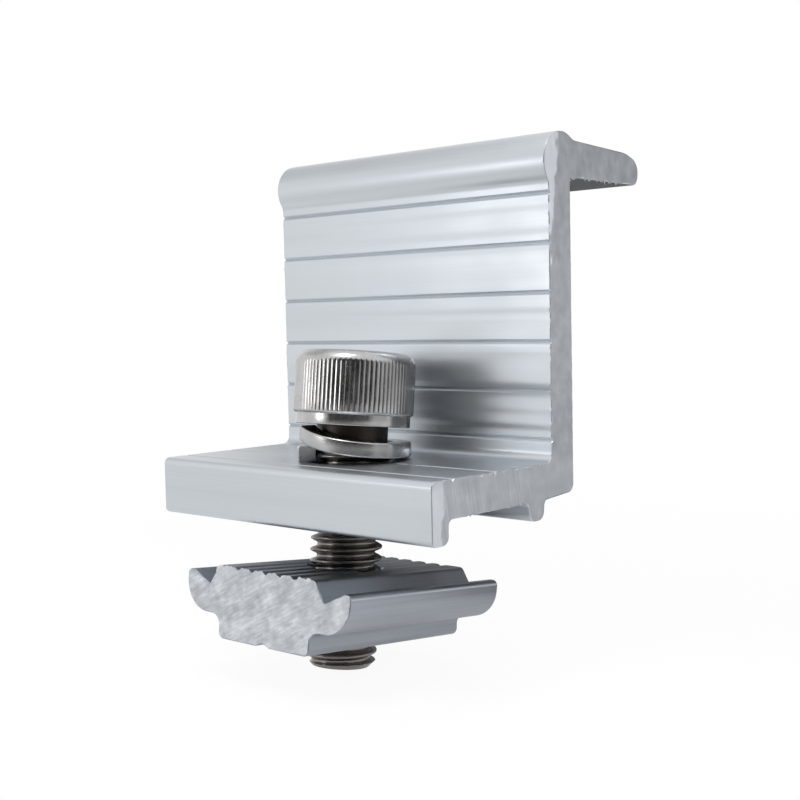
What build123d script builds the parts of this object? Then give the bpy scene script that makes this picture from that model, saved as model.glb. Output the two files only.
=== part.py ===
from build123d import *
from math import cos, pi, sin, tan
import os

os.makedirs("parts", exist_ok=True)

# The frame: x runs along the clamp's extrusion, y from its front to the solar module, z up.
# z = 0 is the rail's top face, y = 0 the middle of the front rib, x = 0 the middle of the length.
# Driving dimensions are in millimetres and degrees.

# Clamp body
clamp_length = 40.0
clamping_height = 35.85
lip_reach = 13.5
lip_root_thickness = 4.0
lip_tip_thickness = 3.35
lip_under_radius = 1.35
lip_top_radius = 1.9
bead_radius = 3.2
bead_overhang = 0.8
bead_height = 4.75
bead_front_fillet = 1.0
bead_back_fillet = 2.0
wall_thickness = 3.9
wall_heel_radius = 1.0
wall_root_fillet = 1.0
foot_depth = 19.4
foot_thickness = 3.87
foot_edge_radius = 0.7
heel_rise = 0.4
front_rib_width = 2.45
front_rib_height = 2.38
front_rib_front_radius = 0.6
front_rib_back_radius = 0.9
inner_rib_setback = 15.1
inner_rib_width = 2.9
inner_rib_height = 1.98
inner_rib_taper = 0.35
inner_rib_radius = 1.0
rib_fillet = 0.6
groove_count = 6
groove_pitch = 5.13
first_groove_height = 2.25
groove_width = 0.5
groove_depth = 0.25
foot_groove_spacing = 6.6
screw_to_wall = 9.7
hole_diameter = 9.0

# Cap screw
screw_lean = 6.2
thread_diameter = 7.8
tip_chamfer = 0.8
screw_length = 26.0
head_diameter = 13.15
head_height = 8.0
head_edge_radius = 1.35
crown_rounding = 0.9
head_rim_diameter = 12.5
head_rim_height = 1.3
head_rim_chamfer = 0.25
knurl_teeth = 78
knurl_depth = 0.2
socket_width = 6.0
socket_depth = 4.6

# Spring washer
washer_bore = 8.7
washer_width = 1.85
washer_thickness = 1.68
washer_rise = 2.37
washer_bend = 4.5
washer_turn = 356.0
washer_lower_end = 240.0
washer_points = 40
washer_shift_x = 0.26
washer_shift_y = 0.22

# Channel nut
nut_length = 23.9
nut_width = 23.76
nut_body_width = 13.2
nut_body_height = 2.47
nut_body_radius = 0.75
nut_body_fillet = 1.2
nut_wing_height = 4.3
nut_wing_radius = 3.28
nut_wing_edge_radius = 0.6
nut_wing_tip_width = 0.9
nut_channel_depth = 1.25
nut_channel_spacing = 16.76
nut_crown_height = 0.88
nut_crown_width = 13.9
nut_crown_radius = 0.7
nut_ridge_pitch = 2.06
nut_ridge_valleys = 5
nut_ridge_width = 1.2
nut_ridge_depth = 0.35
nut_notch_width = 2.0
nut_notch_depth = 0.4
nut_drop = 8.6
nut_turn = 1.5

# Clearances between pieces
washer_seat_gap = 0.02
head_seat_gap = 0.05
thread_running_gap = 0.05

# Levels and lines that the pieces share
foot_under = front_rib_height
foot_top = foot_under + foot_thickness
foot_middle = foot_under + foot_thickness / 2
front_face = -front_rib_width / 2
wall_front = front_face + foot_depth
wall_back = wall_front + wall_thickness
lip_tip = wall_back + lip_reach
lip_under = clamping_height
screw_line_y = wall_front - screw_to_wall

# The screw line passes through the middle of the foot's hole and leans towards the wall,
# because the open end of the spring washer props up the front of the head.
screw_line = Location((0, screw_line_y, foot_middle), (-screw_lean, 0, 0))


BASE = (Align.CENTER, Align.CENTER, Align.MIN)


def nearest_vertex(face, corner):
    return face.vertices().sort_by_distance(Vector(*corner))[0]


def round_corners(face, corners):
    """Round each listed corner of a flat outline: (across, up, radius)."""
    for across, up, radius in corners:
        face = fillet(nearest_vertex(face, (across, up, 0)), radius)
    return face


def v_groove(centre, width, depth, angle):
    """A groove's section, cut square to the surface that it lies in."""
    section = Polygon((-width / 2, 0), (0, -depth), (width / 2, 0), align=None)
    lifted = Pos(0, depth / 10) * section
    return Pos(*centre) * Rot(0, 0, angle) * (section + lifted)


def clamp_section():
    """The extruded section, drawn flat with y across and z up."""
    inner_rib_front = front_face + inner_rib_setback
    inner_rib_back = inner_rib_front + inner_rib_width
    front_rib_back = front_face + front_rib_width
    inner_rib_bottom = foot_under - inner_rib_height
    lip_root_top = lip_under + lip_root_thickness
    lip_tip_top = lip_under + lip_tip_thickness
    bead_centre = (wall_front - bead_overhang + bead_radius, lip_under + bead_height - bead_radius)

    outline = Polygon(
        (front_face, foot_top),
        (front_face, 0),
        (front_rib_back, 0),
        (front_rib_back, foot_under),
        (inner_rib_front, foot_under),
        (inner_rib_front + inner_rib_taper, inner_rib_bottom),
        (inner_rib_back - inner_rib_taper / 2, inner_rib_bottom),
        (inner_rib_back, foot_under),
        (wall_back, foot_under + heel_rise),
        (wall_back, lip_under),
        (lip_tip, lip_under),
        (lip_tip, lip_tip_top),
        (wall_back, lip_root_top),
        (wall_front, lip_root_top),
        (wall_front, foot_top),
        align=None,
    )
    outline = round_corners(
        outline,
        [
            (front_face, foot_top, foot_edge_radius),
            (front_face, 0, front_rib_front_radius),
            (front_rib_back, 0, front_rib_back_radius),
            (front_rib_back, foot_under, rib_fillet),
            (inner_rib_front, foot_under, rib_fillet),
            (inner_rib_front + inner_rib_taper, inner_rib_bottom, inner_rib_radius),
            (inner_rib_back - inner_rib_taper / 2, inner_rib_bottom, inner_rib_radius),
            (inner_rib_back, foot_under, rib_fillet),
            (wall_back, foot_under + heel_rise, wall_heel_radius),
            (lip_tip, lip_under, lip_under_radius),
            (lip_tip, lip_tip_top, lip_top_radius),
            (wall_front, foot_top, wall_root_fillet),
        ],
    )
    below_lip = Rectangle(2 * bead_radius, 2 * bead_radius, align=(Align.MIN, Align.MAX))
    bead = Pos(*bead_centre) * Circle(bead_radius) - Pos(wall_back, lip_under) * below_lip
    section = outline + bead

    # Where the bead runs into the wall below it and into the lip behind it
    wall_inset = bead_centre[0] - wall_front
    bead_foot = bead_centre[1] - (bead_radius**2 - wall_inset**2) ** 0.5
    lip_slope = (lip_root_thickness - lip_tip_thickness) / lip_reach
    bead_tail = (wall_back + bead_radius / 4, lip_root_top - lip_slope * bead_radius / 4)
    section = fillet(nearest_vertex(section, (wall_front, bead_foot, 0)), bead_front_fillet)
    section = fillet(nearest_vertex(section, (*bead_tail, 0)), bead_back_fillet)

    for number in range(groove_count):
        height = foot_top + first_groove_height + number * groove_pitch
        section -= v_groove((wall_front, height), groove_width, groove_depth, 90)
    for setback in (0, foot_groove_spacing):
        section -= v_groove((screw_line_y - setback, foot_top), groove_width, groove_depth, 0)
    return section


def clamp_body():
    yz = Plane(origin=(-clamp_length / 2, 0, 0), x_dir=(0, 1, 0), z_dir=(1, 0, 0))
    body = extrude(yz * clamp_section(), clamp_length)
    hole = Pos(0, screw_line_y, foot_middle) * Cylinder(hole_diameter / 2, 2 * foot_thickness)
    return body - hole


def washer_stations():
    """The bar's middle at even steps of the turn, as (angle, height above the foot).

    The lower end comes first. The bar lies flat for most of the turn, then bends up to the head.
    """
    stations = []
    for number in range(washer_points + 1):
        share = number / washer_points
        angle = washer_lower_end - washer_turn * share
        height = washer_seat_gap + washer_rise * share**washer_bend + washer_thickness / 2
        stations.append((angle, height))
    return stations


def washer_centre():
    """The washer hangs round the leaning shank, moved aside by most of its play."""
    height = (foot_thickness + washer_thickness) / 2
    shank_y = screw_line_y + height * tan(screw_lean * pi / 180)
    return washer_shift_x, shank_y + washer_shift_y


def spring_washer():
    radius = (washer_bore + washer_width) / 2
    centre = Pos(*washer_centre(), foot_top)
    sections = []
    for angle, height in washer_stations():
        upright = Rot(0, 0, angle) * Pos(radius, 0, height) * Rot(90, 0, 0)
        sections.append(centre * upright * Rectangle(washer_width, washer_thickness))
    return loft(sections)


def head_seat():
    """How far up the screw line the head's underside lies: on the washer's upper end."""
    angle, height = washer_stations()[-1]
    edge = Vector(washer_bore / 2, 0, height + washer_thickness / 2).rotate(Axis.Z, angle)
    contact = edge + Vector(*washer_centre(), foot_top)
    lean = screw_lean * pi / 180
    return (contact - screw_line.position).dot(Vector(0, sin(lean), cos(lean))) + head_seat_gap


def cap_screw():
    """Drawn upright with its head's underside at z = 0, then set on the screw line."""
    rim_radius = head_rim_diameter / 2
    head_radius = head_diameter / 2
    knurl_top = head_height - head_edge_radius
    rim = Cylinder(rim_radius, head_rim_height, align=BASE)
    rim = chamfer(rim.edges().sort_by(Axis.Z)[0], head_rim_chamfer)

    teeth = []
    for number in range(2 * knurl_teeth):
        angle = pi * number / knurl_teeth
        radius = head_radius - knurl_depth * (number % 2)
        teeth.append((radius * cos(angle), radius * sin(angle)))
    knurl = Polygon(*teeth, align=None)
    knurled = extrude(Pos(0, 0, head_rim_height) * knurl, knurl_top - head_rim_height)

    crown = Pos(0, 0, knurl_top) * Cylinder(head_radius - knurl_depth, head_edge_radius, align=BASE)
    crown = fillet(crown.edges().sort_by(Axis.Z)[-1], head_edge_radius * crown_rounding)

    shank = Cylinder(thread_diameter / 2, screw_length, align=(Align.CENTER, Align.CENTER, Align.MAX))
    shank = chamfer(shank.edges().sort_by(Axis.Z)[0], tip_chamfer)
    socket = Pos(0, 0, head_height - socket_depth) * extrude(
        RegularPolygon(socket_width / 2, 6, major_radius=False), socket_depth
    )
    screw = rim + knurled + crown + shank - socket
    return screw_line * Pos(0, 0, head_seat()) * screw


def nut_section():
    """The nut's section, with its width across and its own height up from the wing tips."""
    half_width = nut_width / 2
    half_body = nut_body_width / 2
    half_crown = nut_crown_width / 2
    channel = nut_channel_spacing / 2
    wing_under = -nut_wing_height
    bottom = wing_under - nut_body_height
    notch = bottom + nut_notch_depth

    right = [
        (nut_notch_width / 2, bottom),
        (half_body, bottom),
        (half_body, wing_under),
        (half_width, wing_under),
        (half_width, 0),
        (half_width - nut_wing_tip_width, 0),
        (channel, -nut_channel_depth),
        (half_crown, nut_crown_height),
    ]
    left = [(-across, up) for across, up in reversed(right)]
    section = Polygon((0, notch), *right, *left, align=None)
    for side in (-1, 1):
        section = round_corners(
            section,
            [
                (side * half_body, bottom, nut_body_radius),
                (side * half_body, wing_under, nut_body_fillet),
                (side * half_width, wing_under, nut_wing_radius),
                (side * half_width, 0, nut_wing_edge_radius),
                (side * half_crown, nut_crown_height, nut_crown_radius),
            ],
        )
    for number in range(nut_ridge_valleys):
        across = (number - (nut_ridge_valleys - 1) / 2) * nut_ridge_pitch
        section -= v_groove((across, nut_crown_height), nut_ridge_width, nut_ridge_depth, 0)
    return section


def channel_nut():
    """Drawn with its wing tips at z = 0 and its extrusion along y, then set on the screw line."""
    xz = Plane(origin=(0, nut_length / 2, 0), x_dir=(1, 0, 0), z_dir=(0, -1, 0))
    body = extrude(xz * nut_section(), nut_length)
    bore_radius = thread_diameter / 2 + thread_running_gap
    body -= Cylinder(bore_radius, 4 * nut_wing_height)
    place = screw_line * Pos(0, 0, -foot_thickness / 2 - nut_drop) * Rot(0, 0, nut_turn)
    return place * body


pieces = {
    "clamp_body": clamp_body(),
    "spring_washer": spring_washer(),
    "cap_screw": cap_screw(),
    "channel_nut": channel_nut(),
}
for name, piece in pieces.items():
    piece.label = name
    export_step(piece, f"parts/{name}.step")
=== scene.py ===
import math

import bmesh
import bpy
from mathutils import Matrix, Vector, noise


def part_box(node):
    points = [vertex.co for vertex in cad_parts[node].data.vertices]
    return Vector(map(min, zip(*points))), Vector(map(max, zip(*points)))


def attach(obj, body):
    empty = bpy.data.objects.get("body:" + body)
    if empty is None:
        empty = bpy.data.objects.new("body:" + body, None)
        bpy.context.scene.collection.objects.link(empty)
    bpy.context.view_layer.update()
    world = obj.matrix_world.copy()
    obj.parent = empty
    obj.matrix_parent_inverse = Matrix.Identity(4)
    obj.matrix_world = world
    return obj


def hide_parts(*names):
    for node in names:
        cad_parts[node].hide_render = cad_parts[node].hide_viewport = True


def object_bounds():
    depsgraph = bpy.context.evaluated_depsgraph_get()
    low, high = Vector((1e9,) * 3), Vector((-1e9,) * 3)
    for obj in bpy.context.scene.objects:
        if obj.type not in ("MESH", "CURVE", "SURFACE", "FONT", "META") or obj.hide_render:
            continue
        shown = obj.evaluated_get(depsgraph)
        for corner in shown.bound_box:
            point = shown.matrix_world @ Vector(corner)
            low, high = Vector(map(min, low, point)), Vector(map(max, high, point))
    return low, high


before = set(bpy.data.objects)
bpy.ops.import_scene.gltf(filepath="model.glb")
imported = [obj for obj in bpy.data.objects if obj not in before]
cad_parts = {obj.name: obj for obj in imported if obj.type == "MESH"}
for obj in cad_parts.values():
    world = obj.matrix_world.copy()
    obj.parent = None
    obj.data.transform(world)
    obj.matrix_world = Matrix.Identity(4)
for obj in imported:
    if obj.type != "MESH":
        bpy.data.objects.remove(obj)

cad_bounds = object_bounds()

# Meshes are drawn in millimetres and scaled to metres at the end. The sizes are those of the part's source,
# but the lip's tip, the head's rim and the knurl follow the photo more closely here.
MM = 0.001

# Clamp extrusion
CLAMP_LENGTH = 40.0
CLAMPING_HEIGHT = 35.85
LIP_REACH = 13.5
LIP_ROOT_THICKNESS = 4.0
LIP_TIP_THICKNESS = 3.35
LIP_UNDER_RADIUS = 1.2
LIP_TIP_RADIUS = 1.6
LIP_TIP_FALL = 0.8
LIP_FALL_START = 2.4
LIP_FALL_RADIUS = 6.0
BEAD_RADIUS = 3.2
BEAD_OVERHANG = 0.8
BEAD_HEIGHT = 4.75
BEAD_FRONT_FILLET = 1.0
BEAD_BACK_FILLET = 2.0
WALL_THICKNESS = 3.9
WALL_HEEL_RADIUS = 1.0
WALL_ROOT_FILLET = 1.0
FOOT_DEPTH = 19.4
FOOT_THICKNESS = 3.87
FOOT_EDGE_RADIUS = 0.7
HEEL_RISE = 0.4
FRONT_RIB_WIDTH = 2.45
FRONT_RIB_HEIGHT = 2.38
FRONT_RIB_FRONT_RADIUS = 0.6
FRONT_RIB_BACK_RADIUS = 0.9
INNER_RIB_SETBACK = 15.1
INNER_RIB_WIDTH = 2.9
INNER_RIB_HEIGHT = 1.98
INNER_RIB_TAPER = 0.35
INNER_RIB_RADIUS = 1.0
RIB_FILLET = 0.6
GROOVE_COUNT = 6
GROOVE_PITCH = 5.13
FIRST_GROOVE_HEIGHT = 2.25
GROOVE_WIDTH = 0.5
GROOVE_DEPTH = 0.25
GROOVE_EDGE_RADIUS = 0.07
FOOT_GROOVE_SPACING = 6.6
SCREW_TO_WALL = 9.7
HOLE_RADIUS = 4.5
HOLE_EDGE = 0.15

FOOT_TOP = FRONT_RIB_HEIGHT + FOOT_THICKNESS
FOOT_MIDDLE = FRONT_RIB_HEIGHT + FOOT_THICKNESS / 2
FRONT_FACE = -FRONT_RIB_WIDTH / 2
WALL_FRONT = FRONT_FACE + FOOT_DEPTH
WALL_BACK = WALL_FRONT + WALL_THICKNESS
LIP_TIP = WALL_BACK + LIP_REACH
SCREW_LINE_Y = WALL_FRONT - SCREW_TO_WALL

# Cap screw
SCREW_LEAN = math.radians(6.2)
THREAD_RADIUS = 3.9
THREAD_PITCH = 1.25
THREAD_DEPTH = 0.74
THREAD_CREST = 0.05
THREAD_ROOT = 0.43
PLAIN_NECK = 2.3
THREAD_RUN_OUT = 1.2
THREAD_SIDES = 104
THREAD_RINGS_PER_PITCH = 20
SCREW_LENGTH = 26.0
TIP_CHAMFER = 0.8
HEAD_RADIUS = 6.575
HEAD_HEIGHT = 8.0
HEAD_EDGE_RADIUS = 1.35
HEAD_RIM_RADIUS = 6.25
HEAD_RIM_HEIGHT = 1.18
HEAD_RIM_EDGE = 0.12
HEAD_SEAT_WIDTH = 1.2
KNURL_TEETH = 78
KNURL_DEPTH = 0.055
KNURL_STEPS = 8
KNURL_SHARPNESS = 2.0
KNURL_RUN_OUT = 0.35
SOCKET_WIDTH = 6.0
SOCKET_DEPTH = 4.6
SOCKET_MOUTH_RADIUS = 3.75
SOCKET_MOUTH_EDGE = 0.12
SOCKET_MOUTH_DROP = 0.03
SOCKET_MOUTH_SLOPE = 0.6
SOCKET_FLOOR_EDGE = 0.15
SOCKET_FLOOR_SHARE = 0.95
SOCKET_CONE_DEPTH = 0.5

# Spring washer
WASHER_BORE_RADIUS = 4.35
WASHER_WIDTH = 1.85
WASHER_THICKNESS = 1.68
WASHER_RISE = 2.37
WASHER_BEND = 4.5
WASHER_TURN = math.radians(356)
WASHER_LOWER_END = math.radians(240)
WASHER_EDGE_RADIUS = 0.24
WASHER_POINTS = 260

# Channel nut
NUT_LENGTH = 23.9
NUT_HALF_WIDTH = 11.88
NUT_HALF_BODY = 6.6
NUT_BODY_HEIGHT = 2.47
NUT_BODY_RADIUS = 0.75
NUT_BODY_FILLET = 1.2
NUT_WING_HEIGHT = 4.3
NUT_WING_RADIUS = 3.28
NUT_WING_EDGE_RADIUS = 0.6
NUT_WING_TIP_WIDTH = 0.9
NUT_CHANNEL_DEPTH = 1.25
NUT_CHANNEL_RADIUS = 0.12
NUT_CHANNEL = 8.38
NUT_CROWN_HEIGHT = 0.88
NUT_HALF_CROWN = 6.95
NUT_CROWN_RADIUS = 0.7
NUT_RIDGE_PITCH = 2.06
NUT_RIDGE_VALLEYS = 5
NUT_RIDGE_WIDTH = 1.2
NUT_RIDGE_DEPTH = 0.35
NUT_RIDGE_RADIUS = 0.3
NUT_NOTCH_WIDTH = 2.0
NUT_NOTCH_DEPTH = 0.4
NUT_NOTCH_RADIUS = 0.3
NUT_NOTCH_EDGE_RADIUS = 0.2
NUT_BORE_RADIUS = 3.95
NUT_BORE_EDGE = 0.25
NUT_DROP = 8.6
NUT_TURN = math.radians(1.5)

# How finely the outlines and bores are drawn
OUTLINE_SPACING = 0.22
ARC_STEP = math.radians(7)
BORE_SIDES = 128

# Saw-cut ends: the saw eases the edge unevenly and leaves bits of burr. Each end has its own place in the
# noise. The easing is (how far back from the cut in edge widths, share of the inset left there). The
# outline's direction is taken over CUT_REACH to each side. A point this near a face's line is ON_FACE.
CUT_EDGE = 0.10
CUT_WANDER = 0.09
CUT_REACH = 0.7
CUT_EASING = [(0.0, 1.0), (0.25, 0.42), (0.75, 0.08), (2.0, 0.0)]
FAR_CUT = 3.0
NEAR_CUT = 40.0
ON_FACE = 0.3

# Where the blade has left smear on the clamp's end: the smear on the wall's front edge widens between two
# heights
WALL_SMEAR_HEIGHTS = (22.0, 37.0)
WALL_SMEAR_WIDTHS = (-0.9, 1.6)
WALL_SMEAR_SOFTNESS = 0.15
RIB_SMEAR_WIDTH = 1.7
RIB_SMEAR_SOFTNESS = 0.3
# Painted light: the share by which the foot's end is painted lighter
FOOT_PAINTED_LIGHT = 0.36
SMEAR_WANDER = 1.2

# Where teeth have scratched the clamp's end: the scratches fade out between two depths, down to a share
TOOTHED_DEPTHS = (13.0, 16.5)
TOOTHED_LEAST = 0.15

# The values between which noise mostly stays
NOISE_RANGE = (0.3, 0.7)

# The screw line is the axis that the screw turns about and the nut travels along
SCREW_LINE = Matrix.Translation((0, SCREW_LINE_Y, FOOT_MIDDLE)) @ Matrix.Rotation(-SCREW_LEAN, 4, "X")


# Node trees


def add_node(tree, kind, inputs=None, **settings):
    """Add one node. inputs maps a socket to a value, to another node's socket or to a node's first output."""
    made = tree.nodes.new(kind)
    for name, value in settings.items():
        setattr(made, name, value)
    for socket, value in (inputs or {}).items():
        if isinstance(value, bpy.types.Node):
            value = value.outputs[0]
        if isinstance(value, bpy.types.NodeSocket):
            tree.links.new(value, made.inputs[socket])
        else:
            made.inputs[socket].default_value = value
    return made


def calculate(tree, operation, *values):
    """A Math node on one or two values."""
    return add_node(tree, "ShaderNodeMath", dict(enumerate(values)), operation=operation)


def ramp(tree, value, begins, ends, low=0.0, high=1.0, **settings):
    """A number that goes from low to high as the value goes from begins to ends, and no further."""
    return add_node(tree, "ShaderNodeMapRange", {0: value, 1: begins, 2: ends, 3: low, 4: high}, **settings)


def linear(hex_colour):
    """An sRGB hex colour as the linear RGBA that a shader takes."""
    parts = [int(hex_colour[place : place + 2], 16) / 255 for place in (1, 3, 5)]
    return [part / 12.92 if part <= 0.04045 else ((part + 0.055) / 1.055) ** 2.4 for part in parts] + [1.0]


# Materials


def grain(tree, size, turn=(0, 0, 0), detail=3.0, shift=0.0):
    """Noise in the piece's own coordinates, drawn out to a size in millimetres along each axis."""
    place = add_node(tree, "ShaderNodeTexCoord").outputs["Object"]
    drawn = add_node(
        tree,
        "ShaderNodeMapping",
        {"Vector": place, "Location": [shift * MM] * 3, "Rotation": turn, "Scale": [s * MM for s in size]},
        vector_type="TEXTURE",
    )
    return add_node(tree, "ShaderNodeTexNoise", {"Vector": drawn, "Scale": 1.0, "Detail": detail})


def finish_metal(made, tone, colours, rough, rough_range, height, depth):
    """Hang a metal's colour on tone, its roughness on rough and its relief, in millimetres, on height."""
    tree = made.node_tree
    shader = tree.nodes["Principled BSDF"]
    shader.inputs["Metallic"].default_value = 1.0
    colour = add_node(tree, "ShaderNodeValToRGB", {"Fac": tone})
    stops = colour.color_ramp.elements
    for number, (place, hex_colour) in enumerate(colours):
        stop = stops[number] if number < 2 else stops.new(1.0)
        stop.position = place
        stop.color = linear(hex_colour)
    tree.links.new(colour.outputs["Color"], shader.inputs["Base Color"])
    spread = ramp(tree, rough, *NOISE_RANGE, *rough_range)
    tree.links.new(spread.outputs[0], shader.inputs["Roughness"])
    relief = add_node(tree, "ShaderNodeBump", {"Height": height, "Distance": depth * MM, "Strength": 1.0})
    tree.links.new(relief.outputs["Normal"], shader.inputs["Normal"])
    made.diffuse_color = linear(colours[-1][1])
    return made


def new_material(name):
    made = bpy.data.materials.new(name)
    made.use_nodes = True
    return made, made.node_tree


def extruded_aluminium(name, along, turn, colours, rough_range):
    """Satin extruded aluminium: an even silver with faint die lines that run along the extrusion.

    Real die lines are a few hundredths of a millimetre apart. They are drawn at 0.2 mm, so that they show.
    """
    made, tree = new_material(name)

    def sized(length, across):
        return [length if axis == along else across for axis in "XYZ"]

    lines = grain(tree, sized(70, 0.20), turn, detail=3.0)
    bands = grain(tree, sized(120, 2.4), turn, detail=2.0, shift=13)
    cloud = grain(tree, (7, 7, 7), turn, detail=2.0, shift=31)
    tone = add_node(tree, "ShaderNodeMix", {0: 0.6, 2: lines, 3: bands})
    return finish_metal(made, tone, colours, cloud, rough_range, lines, 0.0025)


def saw_cut_aluminium(name, sizes, turn, colours, depth, marks=None):
    """Saw-cut aluminium: dull and torn, with scratches in the direction that the blade travelled.

    sizes are the scratches' and the tears', in the cut's own plane. marks gives two shares over the face:
    where the blade has left smear, smooth and light, with painted light added over the clamp's foot, and
    where its teeth have left deep scratches.
    """
    made, tree = new_material(name)
    scratches = grain(tree, sizes[0], turn, detail=5.0)
    tears = grain(tree, sizes[1], turn, detail=4.0, shift=17)
    mottle = grain(tree, (1.5, 1.5, 1.5), turn, detail=4.0, shift=5)
    smear_and_painted_light, toothed = marks(tree) if marks else (0.0, 0.5)
    height = add_node(tree, "ShaderNodeMix", {0: toothed, 2: tears, 3: scratches})
    torn = add_node(tree, "ShaderNodeMix", {0: 0.4, 2: height, 3: mottle})
    tone = add_node(tree, "ShaderNodeMix", {0: smear_and_painted_light, 2: torn, 3: 0.9})
    return finish_metal(made, tone, colours, tears, (0.42, 0.60), height, depth)


def clamp_end_marks(tree):
    """The clamp's end: smear on the wall's front edge and the front rib, and painted light a little over the
    toothed foot.
    """
    place = add_node(tree, "ShaderNodeTexCoord").outputs["Object"]
    in_mm = add_node(tree, "ShaderNodeVectorMath", {0: place, "Scale": 1 / MM}, operation="SCALE")
    across = add_node(tree, "ShaderNodeSeparateXYZ", {0: in_mm}).outputs
    uneven = grain(tree, (1.4, 0.9, 2.2), detail=4.0)
    wander = ramp(tree, uneven, 0.0, 1.0, -SMEAR_WANDER, SMEAR_WANDER)
    wide = ramp(tree, across["Z"], *WALL_SMEAR_HEIGHTS, *WALL_SMEAR_WIDTHS)
    wall_edge = calculate(tree, "ADD", wide, WALL_FRONT)
    rib_edge = FRONT_FACE + RIB_SMEAR_WIDTH
    shares = []
    for edge, softness in ((wall_edge, WALL_SMEAR_SOFTNESS), (rib_edge, RIB_SMEAR_SOFTNESS)):
        moved = calculate(tree, "ADD", edge, wander)
        within = calculate(tree, "SUBTRACT", moved, across["Y"])
        shares.append(ramp(tree, within, -softness, softness))
    on_wall = ramp(tree, across["Z"], FOOT_TOP + 4, FOOT_TOP + 9)
    low = ramp(tree, across["Z"], FOOT_TOP - 1, FOOT_TOP + 2, 1.0, 0.0)
    on_foot = ramp(tree, across["Y"], *TOOTHED_DEPTHS, 1.0, TOOTHED_LEAST)
    wall_smear = calculate(tree, "MULTIPLY", shares[0], on_wall)
    rib_smear = calculate(tree, "MULTIPLY", shares[1], low)
    # Painted light: the foot's end, below the wall, is painted lighter all over
    foot_painted_light = calculate(tree, "MULTIPLY", low, FOOT_PAINTED_LIGHT)
    whole = calculate(tree, "MAXIMUM", wall_smear, rib_smear)
    smear_and_painted_light = calculate(tree, "MAXIMUM", whole, foot_painted_light)
    toothed = calculate(tree, "MULTIPLY", low, on_foot)
    return smear_and_painted_light, toothed


def stainless_steel(name, size, colours, rough_range):
    """Cold-formed stainless steel: bright and slightly warm, with faint drawing marks and dull patches."""
    made, tree = new_material(name)
    marks = grain(tree, size, detail=3.0)
    patches = grain(tree, (2.5, 2.5, 2.5), detail=3.0, shift=9)
    return finish_metal(made, patches, colours, marks, rough_range, marks, 0.0015)


def paint_shank_shade(made, seat):
    """Painted shade on the shank below the head: dark and dull on the neck inside the washer, less dark on
    the thread.
    """
    tree = made.node_tree
    shader = tree.nodes["Principled BSDF"]
    place = add_node(tree, "ShaderNodeTexCoord").outputs["Object"]
    upright = {0: place, 1: seat, 2: (-SCREW_LEAN, 0, 0)}
    along = add_node(tree, "ShaderNodeMapping", upright, vector_type="TEXTURE")
    up = add_node(tree, "ShaderNodeSeparateXYZ", {0: along}).outputs["Z"]
    on_thread = ramp(tree, up, -(PLAIN_NECK + 0.4) * MM, -PLAIN_NECK * MM, 1.0, 0.0)
    on_shank = ramp(tree, up, 0.0, 0.05 * MM, 1.0, 0.0)
    # Painted shade: these darker colours stand in for the shade in the washer's gap and the dark that the
    # thread reflects
    painted_shades = (("Base Color", linear("#4a4644"), linear("#85817d")), ("Roughness", [0.45] * 4, [0.24] * 4))
    for socket, neck_painted_shade, thread_painted_shade in painted_shades:
        clean = shader.inputs[socket].links[0].from_socket
        shaded_tone = add_node(tree, "ShaderNodeMix", {0: on_thread, 6: neck_painted_shade, 7: thread_painted_shade}, data_type="RGBA")
        kept = add_node(tree, "ShaderNodeMix", {0: on_shank, 6: clean, 7: shaded_tone.outputs[2]}, data_type="RGBA")
        tree.links.new(kept.outputs[2], shader.inputs[socket])


clamp_skin = extruded_aluminium(
    "satin extruded aluminium", "X", (0, 0, 0), [(0.35, "#c7ccd1"), (0.65, "#cdd2d7")], (0.34, 0.40)
)
clamp_cut = saw_cut_aluminium(
    "saw-cut aluminium, clamp end",
    [(4, 0.20, 5), (4, 1.1, 2.6)],
    (math.radians(10), 0, 0),
    [(0.30, "#969a9f"), (0.66, "#c0c4c9"), (1.0, "#edf0f6")],
    0.035,
    clamp_end_marks,
)
nut_skin = extruded_aluminium(
    "mill-finish extruded aluminium",
    "Y",
    (-SCREW_LEAN, 0, NUT_TURN),
    [(0.35, "#959aa1"), (0.65, "#a5aab2")],
    (0.34, 0.42),
)
nut_cut = saw_cut_aluminium(
    "saw-cut aluminium, nut end",
    [(1.5, 4, 0.26), (1.3, 3, 0.9)],
    (0, math.radians(-27), 0),
    [(0.30, "#93989e"), (0.52, "#c6cacf"), (0.70, "#eceff3")],
    0.05,
)
screw_steel = stainless_steel(
    "cold-headed stainless steel", (0.5, 0.5, 3), [(0.35, "#b0afae"), (0.6, "#bfbebe")], (0.18, 0.28)
)
washer_steel = stainless_steel(
    "rolled spring stainless steel", (2, 2, 0.4), [(0.35, "#a9a9a9"), (0.6, "#b7b7b7")], (0.20, 0.30)
)


# Outlines


def arc(centre, start, sweep):
    """Points along an arc: a positive sweep turns anticlockwise."""
    count = max(2, math.ceil(abs(sweep) / ARC_STEP))
    spoke = start - centre
    points = []
    for step in range(count + 1):
        angle = sweep * step / count
        cosine, sine = math.cos(angle), math.sin(angle)
        turned = Vector((spoke.x * cosine - spoke.y * sine, spoke.x * sine + spoke.y * cosine))
        points.append(centre + turned)
    return points


def corner_arc(before, corner, after, radius):
    """The points that round one corner of a flat outline."""
    back = (before - corner).normalized()
    on = (after - corner).normalized()
    half = back.angle(on) / 2
    start = corner + back * (radius / math.tan(half))
    centre = corner + (back + on).normalized() * (radius / math.sin(half))
    turns_left = back.x * on.y - back.y * on.x < 0
    return arc(centre, start, (math.pi - 2 * half) * (1 if turns_left else -1))


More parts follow.
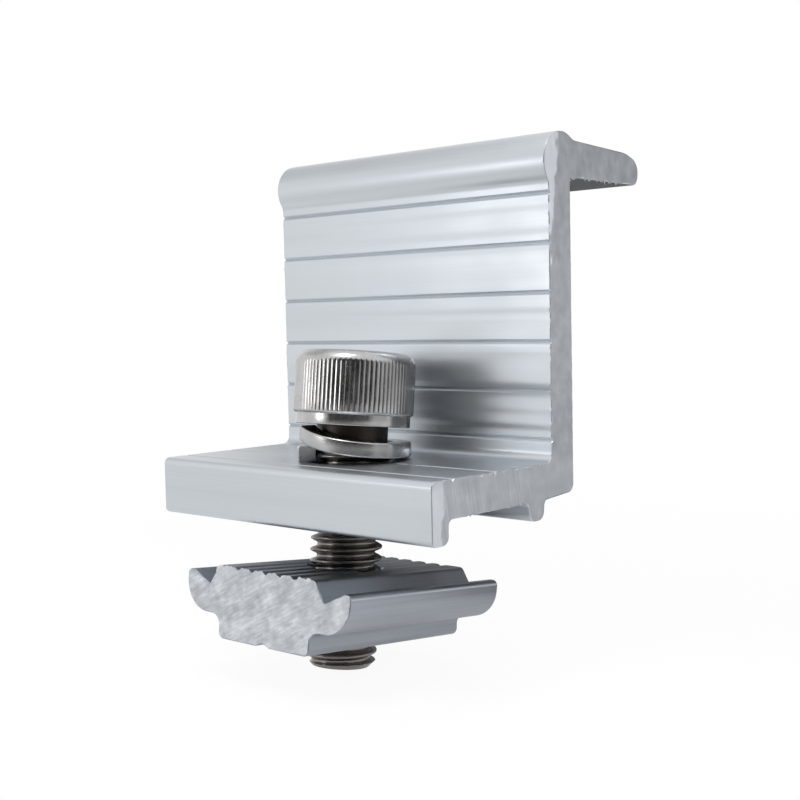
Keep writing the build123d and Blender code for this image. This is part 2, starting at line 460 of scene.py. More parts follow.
def rounded(corners):
    """A closed outline from (across, up, radius) corners."""
    places = [Vector(corner[:2]) for corner in corners]
    points = []
    for number, corner in enumerate(corners):
        if corner[2] > 0:
            before = places[number - 1]
            after = places[(number + 1) % len(places)]
            points += corner_arc(before, places[number], after, corner[2])
        else:
            points.append(places[number])
    return points


def divided(points, spacing):
    """The same closed outline with no side longer than the spacing."""
    finer = []
    for number, point in enumerate(points):
        after = points[(number + 1) % len(points)]
        count = max(1, math.ceil((after - point).length / spacing))
        finer += [point.lerp(after, step / count) for step in range(count)]
    return finer


def groove(centre, along, into, width, depth):
    """A shallow V cut in a straight side, as three corners with eased edges."""
    half = along * (width / 2)
    bottom = centre + into * depth
    edge = GROOVE_EDGE_RADIUS
    return [(*(centre - half), edge), (*bottom, edge / 2), (*(centre + half), edge)]


def bead_corners():
    """The round bead, from the lip's top over to the wall, with a fillet tangent at each side."""
    centre = Vector((WALL_FRONT - BEAD_OVERHANG + BEAD_RADIUS, CLAMPING_HEIGHT + BEAD_HEIGHT - BEAD_RADIUS))
    lip_top = Vector((WALL_BACK, CLAMPING_HEIGHT + LIP_ROOT_THICKNESS))
    lip_fall = Vector((LIP_REACH, LIP_TIP_THICKNESS - LIP_ROOT_THICKNESS)).normalized()
    lip_up = Vector((-lip_fall.y, lip_fall.x))

    # The back fillet's centre is its radius above the lip and both radii from the bead's centre
    above = lip_top + lip_up * BEAD_BACK_FILLET - centre
    ahead = above.dot(lip_fall)
    reach = BEAD_RADIUS + BEAD_BACK_FILLET
    along = -ahead + math.sqrt(ahead**2 - above.length_squared + reach**2)
    back_centre = centre + above + lip_fall * along
    back_start = back_centre - lip_up * BEAD_BACK_FILLET
    back_end = back_centre + (centre - back_centre).normalized() * BEAD_BACK_FILLET
    back_sweep = (back_start - back_centre).angle(back_end - back_centre)

    # The front fillet's centre is its radius in front of the wall
    reach = BEAD_RADIUS + BEAD_FRONT_FILLET
    front_y = WALL_FRONT - BEAD_FRONT_FILLET
    front_centre = Vector((front_y, centre.y - math.sqrt(reach**2 - (centre.x - front_y) ** 2)))
    front_start = front_centre + (centre - front_centre).normalized() * BEAD_FRONT_FILLET
    front_end = Vector((WALL_FRONT, front_centre.y))
    front_sweep = (front_start - front_centre).angle(front_end - front_centre)

    bead_start = math.atan2(back_end.y - centre.y, back_end.x - centre.x)
    bead_end = math.atan2(front_start.y - centre.y, front_start.x - centre.x) % (2 * math.pi)
    points = arc(back_centre, back_start, -back_sweep)
    points += arc(centre, back_end, bead_end - bead_start)[1:]
    points += arc(front_centre, front_start, -front_sweep)[1:]
    return [(*point, 0) for point in points]


def clamp_outline():
    """The clamp's section, with y across and z up."""
    inner_rib_front = FRONT_FACE + INNER_RIB_SETBACK
    inner_rib_back = inner_rib_front + INNER_RIB_WIDTH
    front_rib_back = FRONT_FACE + FRONT_RIB_WIDTH
    inner_rib_bottom = FRONT_RIB_HEIGHT - INNER_RIB_HEIGHT
    lip_taper = (LIP_ROOT_THICKNESS - LIP_TIP_THICKNESS) / LIP_REACH
    fall_start_thickness = LIP_TIP_THICKNESS + lip_taper * LIP_FALL_START
    corners = [
        (FRONT_FACE, 0, FRONT_RIB_FRONT_RADIUS),
        (front_rib_back, 0, FRONT_RIB_BACK_RADIUS),
        (front_rib_back, FRONT_RIB_HEIGHT, RIB_FILLET),
        (inner_rib_front, FRONT_RIB_HEIGHT, RIB_FILLET),
        (inner_rib_front + INNER_RIB_TAPER, inner_rib_bottom, INNER_RIB_RADIUS),
        (inner_rib_back - INNER_RIB_TAPER / 2, inner_rib_bottom, INNER_RIB_RADIUS),
        (inner_rib_back, FRONT_RIB_HEIGHT, RIB_FILLET),
        (WALL_BACK, FRONT_RIB_HEIGHT + HEEL_RISE, WALL_HEEL_RADIUS),
        (WALL_BACK, CLAMPING_HEIGHT, 0),
        (LIP_TIP, CLAMPING_HEIGHT, LIP_UNDER_RADIUS),
        (LIP_TIP, CLAMPING_HEIGHT + LIP_TIP_THICKNESS - LIP_TIP_FALL, LIP_TIP_RADIUS),
        (LIP_TIP - LIP_FALL_START, CLAMPING_HEIGHT + fall_start_thickness, LIP_FALL_RADIUS),
    ]
    corners += bead_corners()
    for number in reversed(range(GROOVE_COUNT)):
        centre = Vector((WALL_FRONT, FOOT_TOP + FIRST_GROOVE_HEIGHT + number * GROOVE_PITCH))
        corners += groove(centre, Vector((0, -1)), Vector((1, 0)), GROOVE_WIDTH, GROOVE_DEPTH)
    corners.append((WALL_FRONT, FOOT_TOP, WALL_ROOT_FILLET))
    for setback in (0, FOOT_GROOVE_SPACING):
        centre = Vector((SCREW_LINE_Y - setback, FOOT_TOP))
        corners += groove(centre, Vector((-1, 0)), Vector((0, -1)), GROOVE_WIDTH, GROOVE_DEPTH)
    corners.append((FRONT_FACE, FOOT_TOP, FOOT_EDGE_RADIUS))
    return divided(rounded(corners), OUTLINE_SPACING)


def nut_outline():
    """The nut's section, with its width across and its height up from the wing tips."""
    wing_under = -NUT_WING_HEIGHT
    bottom = wing_under - NUT_BODY_HEIGHT
    half = [
        (NUT_NOTCH_WIDTH / 2, bottom, NUT_NOTCH_EDGE_RADIUS),
        (NUT_HALF_BODY, bottom, NUT_BODY_RADIUS),
        (NUT_HALF_BODY, wing_under, NUT_BODY_FILLET),
        (NUT_HALF_WIDTH, wing_under, NUT_WING_RADIUS),
        (NUT_HALF_WIDTH, 0, NUT_WING_EDGE_RADIUS),
        (NUT_HALF_WIDTH - NUT_WING_TIP_WIDTH, 0, NUT_CHANNEL_RADIUS),
        (NUT_CHANNEL, -NUT_CHANNEL_DEPTH, NUT_CHANNEL_RADIUS),
        (NUT_HALF_CROWN, NUT_CROWN_HEIGHT, NUT_CROWN_RADIUS),
    ]
    ridges = []
    for number in reversed(range(NUT_RIDGE_VALLEYS)):
        across = (number - (NUT_RIDGE_VALLEYS - 1) / 2) * NUT_RIDGE_PITCH
        ridges += [
            (across + NUT_RIDGE_WIDTH / 2, NUT_CROWN_HEIGHT, NUT_RIDGE_RADIUS),
            (across, NUT_CROWN_HEIGHT - NUT_RIDGE_DEPTH, NUT_RIDGE_RADIUS),
            (across - NUT_RIDGE_WIDTH / 2, NUT_CROWN_HEIGHT, NUT_RIDGE_RADIUS),
        ]
    mirrored = [(-across, up, radius) for across, up, radius in reversed(half)]
    corners = half + ridges + mirrored + [(0, bottom + NUT_NOTCH_DEPTH, NUT_NOTCH_RADIUS)]
    return divided(rounded(corners), OUTLINE_SPACING)


# Meshes


def piece_from(name, mesh, *materials):
    made = bpy.data.objects.new(name, mesh)
    bpy.context.scene.collection.objects.link(made)
    for material in materials:
        made.data.materials.append(material)
    return made


def settle(made):
    """Turn an object and its modifiers into a plain mesh on the same object."""
    bpy.context.view_layer.update()
    evaluated = made.evaluated_get(bpy.context.evaluated_depsgraph_get())
    mesh = bpy.data.meshes.new_from_object(evaluated)
    made.modifiers.clear()
    made.data = mesh


def repaint(made, material):
    """Give a whole piece one material."""
    made.data.materials.clear()
    made.data.materials.append(material)
    for face in made.data.polygons:
        face.material_index = 0


def place_mesh(mesh, matrix):
    """Put a mesh that was drawn in millimetres where it belongs, in metres."""
    mesh.transform(Matrix.Scale(MM, 4) @ matrix)


def shade(mesh, sharper_than):
    """Smooth shading that stops at edges sharper than an angle in degrees, and where a cut meets the skin."""
    shape = bmesh.new()
    shape.from_mesh(mesh)
    for face in shape.faces:
        face.smooth = True
    for edge in shape.edges:
        one_material = len({face.material_index for face in edge.link_faces}) == 1
        edge.smooth = one_material and edge.calc_face_angle(0) < math.radians(sharper_than)
    shape.to_mesh(mesh)
    shape.free()


def close_faces(shape, rings, closed_ends=True):
    """Faces between rings of vertices, each with as many as the next, and over the two ends."""
    for below, above in zip(rings, rings[1:]):
        for step in range(len(below)):
            after = (step + 1) % len(below)
            shape.faces.new((below[step], below[after], above[after], above[step]))
    if closed_ends:
        shape.faces.new(list(reversed(rings[0])))
        shape.faces.new(rings[-1])


def edge_noise(point, finer, place):
    """Noise at a point of an outline, finer as that number grows. Each use reads it at its own place."""
    return noise.noise(Vector((point.x * finer, point.y * finer, place)))


def cut_inset(outline, cut, burr):
    """How far the saw has eased the outline at each point of one end, in millimetres. Burr stands proud."""
    insets = []
    for point in outline:
        wander = edge_noise(point, 1.1, cut)
        fine = edge_noise(point, 3.7, cut + 9)
        insets.append(CUT_EDGE + CUT_WANDER * wander + CUT_WANDER * 0.5 * fine - burr(point, cut))
    return insets


def further_on(outline, number, step):
    """The first point, one way round, that lies clear of the grooves' small curves."""
    start = outline[number]
    while (outline[number % len(outline)] - start).length < CUT_REACH:
        number += step
    return outline[number % len(outline)]


def sawn_bar(name, outline, length, plane, burr, skin, cut):
    """Extrude an outline and saw both ends. plane turns (across, up, along) into a place in millimetres."""
    shape = bmesh.new()
    inward = []
    for number in range(len(outline)):
        side = further_on(outline, number, 1) - further_on(outline, number, -1)
        inward.append(Vector((-side.y, side.x)).normalized())
    insets = {-1: cut_inset(outline, FAR_CUT, burr), 1: cut_inset(outline, NEAR_CUT, burr)}
    stations = [(-1, *stage) for stage in CUT_EASING] + [(1, *stage) for stage in reversed(CUT_EASING)]
    rings = []
    for end, back, share in stations:
        ring = []
        for point, normal, inset in zip(outline, inward, insets[end]):
            place = point + normal * (inset * share)
            along = end * (length / 2 - back * CUT_EDGE)
            ring.append(shape.verts.new(plane(place.x, place.y, along)))
        rings.append(ring)
    close_faces(shape, rings)
    bmesh.ops.recalc_face_normals(shape, faces=shape.faces)
    ends = [face for face in shape.faces if len(face.verts) > 4]
    for face in ends:
        face.material_index = 1
    bmesh.ops.triangulate(shape, faces=ends, ngon_method="EAR_CLIP")
    mesh = bpy.data.meshes.new(name)
    shape.to_mesh(mesh)
    shape.free()
    return piece_from(name, mesh, skin, cut)


def bore(made, radius, edge, low, high, matrix):
    """Cut a round hole with eased edges through a piece, along the Z axis of the matrix."""
    shape = bmesh.new()
    rings = []
    wide = radius + edge + 1
    turn = [2 * math.pi * step / BORE_SIDES for step in range(BORE_SIDES)]
    for reach, z in ((wide, low - 1), (radius, low + edge), (radius, high - edge), (wide, high + 1)):
        ring = [(reach * math.cos(angle), reach * math.sin(angle), z) for angle in turn]
        rings.append([shape.verts.new(place) for place in ring])
    close_faces(shape, rings)
    bmesh.ops.recalc_face_normals(shape, faces=shape.faces)
    mesh = bpy.data.meshes.new("bore")
    shape.to_mesh(mesh)
    shape.free()
    mesh.transform(matrix)
    cutter = piece_from("bore", mesh)
    cut = made.modifiers.new("bore", "BOOLEAN")
    cut.operation = "DIFFERENCE"
    cut.solver = "EXACT"
    cut.object = cutter
    settle(made)
    bpy.data.objects.remove(cutter)


# Pieces


def clamp_burr(point, cut):
    """How proud the cut edge stands: burr on the wall's front, and the near end's torn edges elsewhere."""
    bits = edge_noise(point, 1.3, cut + 21)
    teeth = edge_noise(point, 3.0, cut + 33)
    if abs(point.x - WALL_FRONT) < ON_FACE and FOOT_TOP + 3 < point.y < CLAMPING_HEIGHT:
        return max(0.0, bits - 0.05) * (0.6 if cut == NEAR_CUT else 0.2) * (1 + 1.2 * teeth)
    if cut == FAR_CUT:
        return 0.0
    if abs(point.y - CLAMPING_HEIGHT) < ON_FACE and WALL_BACK < point.x < LIP_TIP - 3:
        return 0.12 + 0.5 * teeth
    if abs(point.y - FOOT_TOP) < ON_FACE and 6 < point.x < WALL_FRONT - 2:
        return 0.4 * teeth
    if abs(point.y - FRONT_RIB_HEIGHT) < ON_FACE and 3 < point.x < 13:
        return 0.45 * teeth
    return 0.0


def build_clamp():
    made = sawn_bar(
        "clamp_extrusion",
        clamp_outline(),
        CLAMP_LENGTH,
        lambda across, up, along: (along, across, up),
        clamp_burr,
        clamp_skin,
        clamp_cut,
    )
    through = Matrix.Translation((0, SCREW_LINE_Y, 0))
    bore(made, HOLE_RADIUS, HOLE_EDGE, FRONT_RIB_HEIGHT, FOOT_TOP, through)
    place_mesh(made.data, Matrix.Identity(4))
    shade(made.data, sharper_than=24)
    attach(made, "clamp")
    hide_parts("clamp_body")


def nut_burr(point, cut):
    """Burr that the saw has pushed over the crown's ridges at the near end."""
    if point.y < 0.2 or cut == FAR_CUT:
        return 0.0
    bits = edge_noise(point, 1.7, cut + 5)
    teeth = edge_noise(point, 6.1, cut + 9)
    return 0.10 + 0.14 * bits + 0.12 * teeth


def build_nut():
    made = sawn_bar(
        "winged_channel_nut",
        nut_outline(),
        NUT_LENGTH,
        lambda across, up, along: (across, -along, up),
        nut_burr,
        nut_skin,
        nut_cut,
    )
    bottom = -NUT_WING_HEIGHT - NUT_BODY_HEIGHT
    bore(made, NUT_BORE_RADIUS, NUT_BORE_EDGE, bottom, NUT_CROWN_HEIGHT, Matrix.Identity(4))
    hang = Matrix.Translation((0, 0, -FOOT_THICKNESS / 2 - NUT_DROP))
    place_mesh(made.data, SCREW_LINE @ hang @ Matrix.Rotation(NUT_TURN, 4, "Z"))
    shade(made.data, sharper_than=24)
    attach(made, "nut")
    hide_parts("channel_nut")


def geometry_tree(name, inputs):
    """A Geometry Nodes tree with named number inputs. Gives the tree, its inputs and its result."""
    tree = bpy.data.node_groups.new(name, "GeometryNodeTree")
    tree.interface.new_socket(name="Geometry", in_out="OUTPUT", socket_type="NodeSocketGeometry")
    for label, value in inputs.items():
        kind = "NodeSocketInt" if isinstance(value, int) else "NodeSocketFloat"
        socket = tree.interface.new_socket(name=label, in_out="INPUT", socket_type=kind)
        socket.default_value = value
    given = add_node(tree, "NodeGroupInput")
    result = add_node(tree, "NodeGroupOutput")
    return tree, given.outputs, result.inputs


def end_tree(tree, geometry, material, result):
    """Every tree ends in real geometry with its material."""
    real = add_node(tree, "GeometryNodeRealizeInstances", {0: geometry})
    painted = add_node(tree, "GeometryNodeSetMaterial", {"Geometry": real, "Material": material})
    tree.links.new(painted.outputs[0], result["Geometry"])


def object_from_tree(name, tree, values, material):
    """Run a tree on an empty mesh, its inputs set by identifier, and keep the plain mesh."""
    made = piece_from(name, bpy.data.meshes.new(name), material)
    modifier = made.modifiers.new(name, "NODES")
    modifier.node_group = tree
    for item in tree.interface.items_tree:
        if item.in_out == "INPUT":
            modifier[item.identifier] = values[item.name]
    settle(made)
    repaint(made, material)
    return made


def thread_tree(values):
    """A cylinder whose wall follows a 60 degree right-hand thread, with a chamfered tip.

    The radius depends only on the place along the helix: narrow crests, sloping flanks, narrow roots.
    Where the crest ends and the root begins are shares of the pitch, from the crest's middle.
    """
    tree, given, result = geometry_tree("right-hand thread", values)
    wall = add_node(
        tree,
        "GeometryNodeMeshCylinder",
        {
            "Vertices": given["Sides"],
            "Side Segments": given["Rings"],
            "Radius": given["Radius"],
            "Depth": given["Length"],
        },
        fill_type="NGON",
    )
    place = add_node(tree, "ShaderNodeSeparateXYZ", {0: add_node(tree, "GeometryNodeInputPosition")})
    x, y, z = place.outputs
    middle = calculate(tree, "DIVIDE", given["Length"], 2.0)
    depth = calculate(tree, "SUBTRACT", middle, z)
    turn = calculate(tree, "ARCTAN2", y, x)
    turns = calculate(tree, "DIVIDE", turn, 2 * math.pi)
    pitches = calculate(tree, "DIVIDE", depth, given["Pitch"])
    helix = calculate(tree, "ADD", pitches, turns)
    phase = calculate(tree, "FRACT", helix)
    centred = calculate(tree, "SUBTRACT", phase, 0.5)
    from_crest = calculate(tree, "ABSOLUTE", centred)
    flank = ramp(tree, from_crest, THREAD_CREST, THREAD_ROOT, interpolation_type="SMOOTHSTEP")
    below_neck = calculate(tree, "SUBTRACT", depth, given["Neck"])
    run_out = ramp(
        tree, below_neck, 0.0, given["Run-out"], 0.0, given["Depth"], interpolation_type="SMOOTHSTEP"
    )
    cut = calculate(tree, "MULTIPLY", flank, run_out)
    threaded = calculate(tree, "SUBTRACT", given["Radius"], cut)
    tip = calculate(tree, "SUBTRACT", given["Radius"], given["Tip chamfer"])
    above_tip = calculate(tree, "SUBTRACT", given["Length"], depth)
    tip_cone = calculate(tree, "ADD", tip, above_tip)
    radius = calculate(tree, "MINIMUM", threaded, tip_cone)
    share = calculate(tree, "DIVIDE", radius, given["Radius"])
    moved = add_node(
        tree,
        "ShaderNodeCombineXYZ",
        {
            0: calculate(tree, "MULTIPLY", x, share),
            1: calculate(tree, "MULTIPLY", y, share),
            2: calculate(tree, "MULTIPLY", depth, -1.0),
        },
    )
    shaped = add_node(tree, "GeometryNodeSetPosition", {"Geometry": wall, "Position": moved})
    end_tree(tree, shaped, screw_steel, result)
    return tree


def head_rings():
    """The head's profile from the underside's edge to the socket's floor, as (kind, radius, height).

    In the socket the radius is a share of the hexagon's.
    """
    knurl_low = HEAD_RIM_HEIGHT
    knurl_top = HEAD_HEIGHT - HEAD_EDGE_RADIUS
    rim_inner = HEAD_RIM_RADIUS - HEAD_RIM_EDGE
    rings = [("round", HEAD_RIM_RADIUS - HEAD_SEAT_WIDTH, 0.0), ("round", rim_inner, 0.0)]
    for step in range(1, 5):
        angle = math.pi / 2 * step / 4
        rise = HEAD_RIM_EDGE * (1 - math.cos(angle))
        rings.append(("round", rim_inner + HEAD_RIM_EDGE * math.sin(angle), rise))
    rings.append(("round", HEAD_RIM_RADIUS, HEAD_RIM_HEIGHT * 0.6))
    rings.append(("round", HEAD_RIM_RADIUS, HEAD_RIM_HEIGHT))
    for share in (0.25, 0.5, 0.75, 1.0):
        reach = HEAD_RIM_RADIUS + (HEAD_RADIUS - HEAD_RIM_RADIUS) * math.sin(math.pi / 2 * share)
        rings.append(("knurl", reach, knurl_low + KNURL_RUN_OUT * share))
    start = knurl_low + KNURL_RUN_OUT
    for step in range(1, 5):
        rings.append(("knurl", HEAD_RADIUS, start + (knurl_top - start) * step / 4))
    for step in range(1, 13):
        angle = math.pi / 2 * step / 12
        radius = HEAD_RADIUS - HEAD_EDGE_RADIUS * (1 - math.cos(angle))
        rings.append(("knurl", radius, knurl_top + HEAD_EDGE_RADIUS * math.sin(angle)))
    floor = HEAD_HEIGHT - SOCKET_DEPTH
    rings.append(("round", SOCKET_MOUTH_RADIUS + SOCKET_MOUTH_EDGE, HEAD_HEIGHT))
    rings.append(("round", SOCKET_MOUTH_RADIUS, HEAD_HEIGHT - SOCKET_MOUTH_DROP))
    rings.append(("mouth", SOCKET_MOUTH_RADIUS, HEAD_HEIGHT - SOCKET_MOUTH_DROP))
    rings.append(("socket", 1.0, floor + SOCKET_FLOOR_EDGE))
    rings.append(("socket", SOCKET_FLOOR_SHARE, floor))
    rings.append(("round", 1.0, floor - SOCKET_CONE_DEPTH))
    return rings


def head_place(kind, radius, height, step):
    """One vertex of a ring. The knurl and the hexagon socket vary the radius round the turn."""
    angle = 2 * math.pi * step / (KNURL_TEETH * KNURL_STEPS)
    sector = math.pi / 3
    hexagon = SOCKET_WIDTH / 2 / math.cos(angle % sector - sector / 2)
    if kind == "knurl":
        from_crest = abs(step % KNURL_STEPS - KNURL_STEPS / 2) / (KNURL_STEPS / 2)
        radius = min(radius, HEAD_RADIUS - KNURL_DEPTH * from_crest**KNURL_SHARPNESS)
    elif kind == "mouth":
        height -= (radius - hexagon) * SOCKET_MOUTH_SLOPE
        radius = hexagon
    elif kind == "socket":
        radius *= hexagon
    return radius * math.cos(angle), radius * math.sin(angle), height


def angle_round(vertex):
    """A vertex's angle round the Z axis, from 0. The hair's breadth keeps the first one from a full turn."""
    return math.atan2(vertex.co.y, vertex.co.x + 1e-9) % (2 * math.pi)


def build_screw():
    """The threaded shank from its tree, and the knurled head grown from its top ring as one closed skin."""
    values = {
        "Sides": THREAD_SIDES,
        "Rings": int(SCREW_LENGTH / THREAD_PITCH * THREAD_RINGS_PER_PITCH),
        "Radius": THREAD_RADIUS,
        "Length": SCREW_LENGTH,
        "Pitch": THREAD_PITCH,
        "Depth": THREAD_DEPTH,
        "Neck": PLAIN_NECK,
        "Run-out": THREAD_RUN_OUT,
        "Tip chamfer": TIP_CHAMFER,
    }
    made = object_from_tree("socket_cap_screw", thread_tree(values), values, screw_steel)
    shape = bmesh.new()
    shape.from_mesh(made.data)
    top = [face for face in shape.faces if len(face.verts) > 4 and face.calc_center_median().z > -0.1]
    neck = sorted(top[0].verts, key=angle_round)
    bmesh.ops.delete(shape, geom=top, context="FACES_ONLY")
    steps = KNURL_TEETH * KNURL_STEPS
    rings = []
    for kind, radius, height in head_rings():
        rings.append([shape.verts.new(head_place(kind, radius, height, step)) for step in range(steps)])
    close_faces(shape, rings, closed_ends=False)
    shape.faces.new(rings[-1])
    per_side = steps // THREAD_SIDES
    for side in range(THREAD_SIDES):
        edge = [rings[0][(side * per_side + step) % steps] for step in range(per_side + 1)]
        shape.faces.new([neck[(side + 1) % THREAD_SIDES], neck[side]] + edge)
    bmesh.ops.recalc_face_normals(shape, faces=shape.faces)
    shape.to_mesh(made.data)
    shape.free()
    to_line = SCREW_LINE.inverted()
    heights = [(to_line @ (vertex.co / MM)).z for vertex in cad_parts["cap_screw"].data.vertices]
    seat = SCREW_LINE @ Vector((0, 0, max(heights) - HEAD_HEIGHT))
    place_mesh(made.data, Matrix.Translation(seat) @ Matrix.Rotation(-SCREW_LEAN, 4, "X"))
    # Paint shade on the shank below the head
    paint_shank_shade(screw_steel, seat * MM)
    shade(made.data, sharper_than=38)
    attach(made, "screw")
    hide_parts("cap_screw")


def washer_tree(values):
    """A bar bent into a left-hand turn: flat for most of the way, then rising to its upper end."""
    tree, given, result = geometry_tree("open spring washer", values)
    line = add_node(tree, "GeometryNodeCurvePrimitiveLine")
    fine = add_node(tree, "GeometryNodeResampleCurve", {"Curve": line, "Count": given["Points"]})
    share = add_node(tree, "GeometryNodeSplineParameter").outputs["Factor"]
    turned = calculate(tree, "MULTIPLY", given["Turn"], share)
    angle = calculate(tree, "SUBTRACT", given["Lower end"], turned)
    cosine = calculate(tree, "COSINE", angle)
    sine = calculate(tree, "SINE", angle)
    bend = calculate(tree, "POWER", share, given["Bend"])
    place = add_node(
        tree,
        "ShaderNodeCombineXYZ",
        {
            0: calculate(tree, "MULTIPLY", given["Radius"], cosine),
            1: calculate(tree, "MULTIPLY", given["Radius"], sine),
            2: calculate(tree, "MULTIPLY", given["Rise"], bend),
        },
    )
    bent = add_node(tree, "GeometryNodeSetPosition", {"Geometry": fine, "Position": place})
    upright = add_node(tree, "GeometryNodeSetCurveNormal", {0: bent}, mode="Z_UP")
    section = add_node(
        tree,
        "GeometryNodeCurvePrimitiveQuadrilateral",
        {"Width": given["Width"], "Height": given["Thickness"]},
    )
    eased = add_node(
        tree,
        "GeometryNodeFilletCurve",
        {"Curve": section, "Radius": given["Edge radius"], "Count": 5},
        mode="POLY",
    )
    swept = {"Curve": upright, "Profile Curve": eased, "Fill Caps": True}
    bar = add_node(tree, "GeometryNodeCurveToMesh", swept)
    end_tree(tree, bar, washer_steel, result)
    return tree


def build_washer():
    values = {
        "Points": WASHER_POINTS,
        "Radius": WASHER_BORE_RADIUS + WASHER_WIDTH / 2,
        "Width": WASHER_WIDTH,
        "Thickness": WASHER_THICKNESS,
        "Edge radius": WASHER_EDGE_RADIUS,
        "Rise": WASHER_RISE,
        "Bend": WASHER_BEND,
        "Turn": WASHER_TURN,
        "Lower end": WASHER_LOWER_END,
    }
    made = object_from_tree("open_spring_washer", washer_tree(values), values, washer_steel)
    low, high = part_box("spring_washer")
    centre = (low + high) / (2 * MM)
    place_mesh(made.data, Matrix.Translation((centre.x, centre.y, low.z / MM + WASHER_THICKNESS / 2)))
    shape = bmesh.new()
    shape.from_mesh(made.data)
    bmesh.ops.remove_doubles(shape, verts=shape.verts, dist=0.001 * MM)
    bmesh.ops.recalc_face_normals(shape, faces=shape.faces)
    shape.to_mesh(made.data)
    shape.free()
    shade(made.data, sharper_than=40)
    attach(made, "clamp")
    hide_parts("spring_washer")


# Studio

STUDIO_MIDDLE = (0, 10, 12)
FLOOR_GAP = 0.4
FLOOR_HALF = 1500.0

# The share of plain white in the floor near the object, and the distances between which it grows to all
CAMERA_WHITE = (0.93, 60.0, 200.0)
GLOSS_WHITE = (0.4, 10.0, 50.0)


def build_world():
    """A white studio at a plain level."""
    world = bpy.data.worlds.new("pale studio")
    bpy.context.scene.world = world
    world.use_nodes = True
    sky = world.node_tree.nodes["Background"]
    sky.inputs["Color"].default_value = linear("#ffffff")
    sky.inputs["Strength"].default_value = 1.0


def build_floor():
    """A plain pale floor under the screw's tip. It keeps the shadow and fades to white further out."""
    level = cad_bounds[0][2] / MM - FLOOR_GAP
    corners = [(-1, -1), (1, -1), (1, 1), (-1, 1)]
    mesh = bpy.data.meshes.new("floor")
    mesh.from_pydata([(FLOOR_HALF * x, FLOOR_HALF * y, level) for x, y in corners], [], [(0, 1, 2, 3)])
    mesh.transform(Matrix.Scale(MM, 4))
    material, tree = new_material("pale floor")
    shader = tree.nodes["Principled BSDF"]
    shader.inputs["Base Color"].default_value = linear("#f4f4f4")
    shader.inputs["Roughness"].default_value = 0.7
    shader.inputs["Specular IOR Level"].default_value = 0.1
    white = add_node(tree, "ShaderNodeEmission", {"Color": linear("#ffffff"), "Strength": 1.0})
    place = add_node(tree, "ShaderNodeTexCoord").outputs["Object"]
    middle = (STUDIO_MIDDLE[0] * MM, STUDIO_MIDDLE[1] * MM, 0)
    apart = add_node(tree, "ShaderNodeVectorMath", {0: place, 1: middle}, operation="DISTANCE")
    away = apart.outputs["Value"]
    path = add_node(tree, "ShaderNodeLightPath").outputs
    shares = []
    for ray, (near, begins, ends) in (("Camera", CAMERA_WHITE), ("Glossy", GLOSS_WHITE)):
        fade = ramp(tree, away, begins * MM, ends * MM, near, interpolation_type="SMOOTHSTEP")
        shares.append(calculate(tree, "MULTIPLY", fade, path["Is " + ray + " Ray"]))
    share = calculate(tree, "ADD", *shares)
    mixed = add_node(tree, "ShaderNodeMixShader", {0: share, 1: shader, 2: white})
    tree.links.new(mixed.outputs[0], tree.nodes["Material Output"].inputs["Surface"])
    piece_from("floor", mesh, material)


def from_middle(azimuth, elevation, distance):
    """A place in metres, in a direction from the object's middle: azimuth anticlockwise from +X."""
    azimuth, elevation = math.radians(azimuth), math.radians(elevation)
    flat = math.cos(elevation)
    out = Vector((flat * math.cos(azimuth), flat * math.sin(azimuth), math.sin(elevation)))
    return Vector(STUDIO_MIDDLE) * MM + out * distance * MM, out


def area_lamp(name, azimuth, elevation, distance, size, radiance):
    """A soft lamp that faces the object, its power set by how bright it looks beside the white studio."""
    data = bpy.data.lights.new(name, "AREA")
    data.shape = "RECTANGLE"
    data.size, data.size_y = [side * MM for side in size]
    data.energy = radiance * math.pi * data.size * data.size_y
    lamp = bpy.data.objects.new(name, data)
    lamp.location, out = from_middle(azimuth, elevation, distance)
    lamp.rotation_euler = out.to_track_quat("Z", "Y").to_euler()
    bpy.context.scene.collection.objects.link(lamp)


def soft_card(name, place, out, size, tone, solid_to=0.55):
    """A card darker than the studio, which only the gloss of metal shows. It is solid up to a share of its
    size and fades out from there.
    """
    material, tree = new_material(name)
    tree.nodes.clear()
    within = add_node(tree, "ShaderNodeTexCoord").outputs["Object"]
    sides = [2 / (side * MM) for side in size] + [0]
    scaled = add_node(tree, "ShaderNodeVectorMath", {0: within, 1: sides}, operation="MULTIPLY")
    from_centre = add_node(tree, "ShaderNodeVectorMath", {0: scaled}, operation="LENGTH").outputs["Value"]
    solid = ramp(tree, from_centre, solid_to, 1.0, 1.0, 0.0, interpolation_type="SMOOTHSTEP")
    grey = add_node(tree, "ShaderNodeEmission", {"Color": linear("#ffffff"), "Strength": tone})
    clear = add_node(tree, "ShaderNodeBsdfTransparent")
    mixed = add_node(tree, "ShaderNodeMixShader", {0: solid, 1: clear, 2: grey})
    out_node = add_node(tree, "ShaderNodeOutputMaterial")
    tree.links.new(mixed.outputs[0], out_node.inputs["Surface"])
    mesh = bpy.data.meshes.new(name)
    width, height = [side * MM / 2 for side in size]
    corners = [(-width, -height, 0), (width, -height, 0), (width, height, 0), (-width, height, 0)]
    mesh.from_pydata(corners, [], [(0, 1, 2, 3)])
    card = piece_from(name, mesh, material)
    card.location = place
    card.rotation_euler = out.to_track_quat("Z", "Y").to_euler()
    card.visible_camera = False
    card.visible_diffuse = False


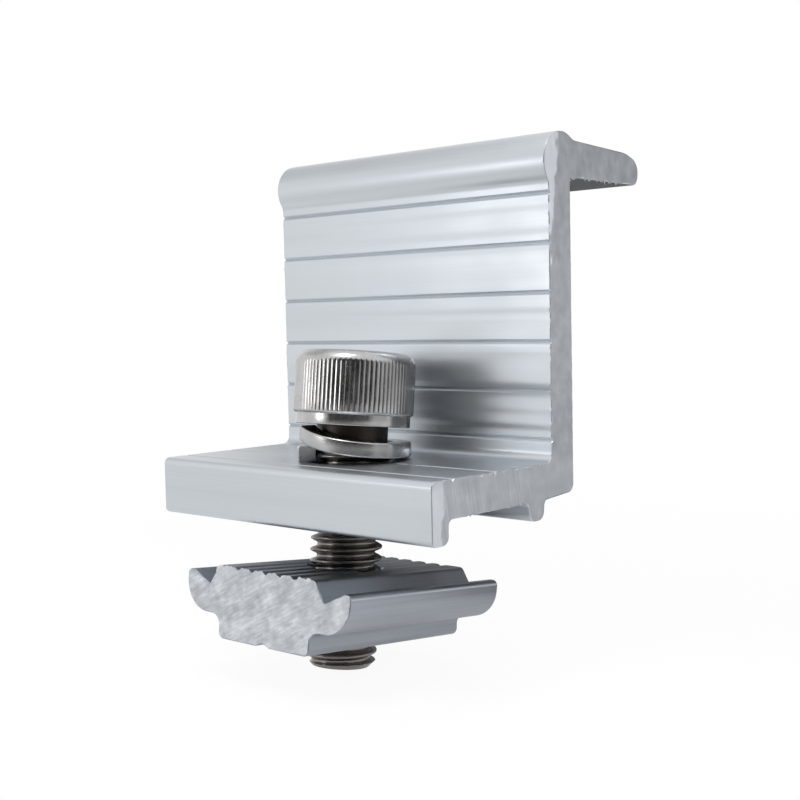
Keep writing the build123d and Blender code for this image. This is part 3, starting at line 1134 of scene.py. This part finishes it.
def floor_card(name, across, size, tone, solid_to=0.55):
    """A card that lies just over the floor."""
    level = cad_bounds[0][2] / MM - FLOOR_GAP / 2
    soft_card(name, Vector((*across, level)) * MM, Vector((0, 0, 1)), size, tone, solid_to)


def build_light():
    area_lamp("front strip softbox", -115, 7, 500, (135, 80), 4.0)
    area_lamp("crown light", -78, 66, 500, (150, 190), 9.5)
    area_lamp("right fill", 50, 3, 500, (260, 80), 0.85)
    soft_card("card behind the camera", *from_middle(-56, 4, 420), (1150, 560), 0.03, 0.8)
    soft_card("card behind the object", *from_middle(118, 2, 200), (240, 170), 0.04)
    soft_card("card behind at the right", *from_middle(80, 24, 200), (260, 190), 0.04)
    soft_card("card at the right", *from_middle(14, 6, 420), (330, 330), 0.45)
    soft_card("card above and behind", *from_middle(175, 45, 420), (520, 330), 0.7)
    floor_card("card on the floor behind", (-30, 95), (330, 170), 0.04)
    floor_card("card on the floor at the left", (-95, -98), (140, 140), 0.72, 0.3)
    floor_card("card on the floor in front", (92, -98), (270, 270), 0.3)


# The camera was matched to the photograph, which is 800 pixels square
PHOTO_SIDE_PX = 800
CAMERA_FOCAL_PX = 1263.4
CAMERA_PLACE = (95.80, -89.63, 21.41)
CAMERA_AZIMUTH = math.radians(41.963)
CAMERA_DOWN = math.radians(3.659)
CAMERA_ROLL = math.radians(1.186)


def build_camera():
    data = bpy.data.cameras.new("camera")
    data.sensor_width = 36.0
    data.lens = CAMERA_FOCAL_PX / PHOTO_SIDE_PX * data.sensor_width
    data.clip_start = 0.005
    data.clip_end = 20.0
    camera = bpy.data.objects.new("camera", data)
    camera.location = Vector(CAMERA_PLACE) * MM
    level = Matrix.Rotation(CAMERA_AZIMUTH, 4, "Z") @ Matrix.Rotation(math.pi / 2 - CAMERA_DOWN, 4, "X")
    camera.rotation_euler = (level @ Matrix.Rotation(-CAMERA_ROLL, 4, "Z")).to_euler()
    bpy.context.scene.collection.objects.link(camera)
    bpy.context.scene.camera = camera


build_clamp()
build_nut()
build_screw()
build_washer()
build_world()
build_floor()
build_light()
build_camera()
bpy.context.scene.view_settings.view_transform = "Standard"
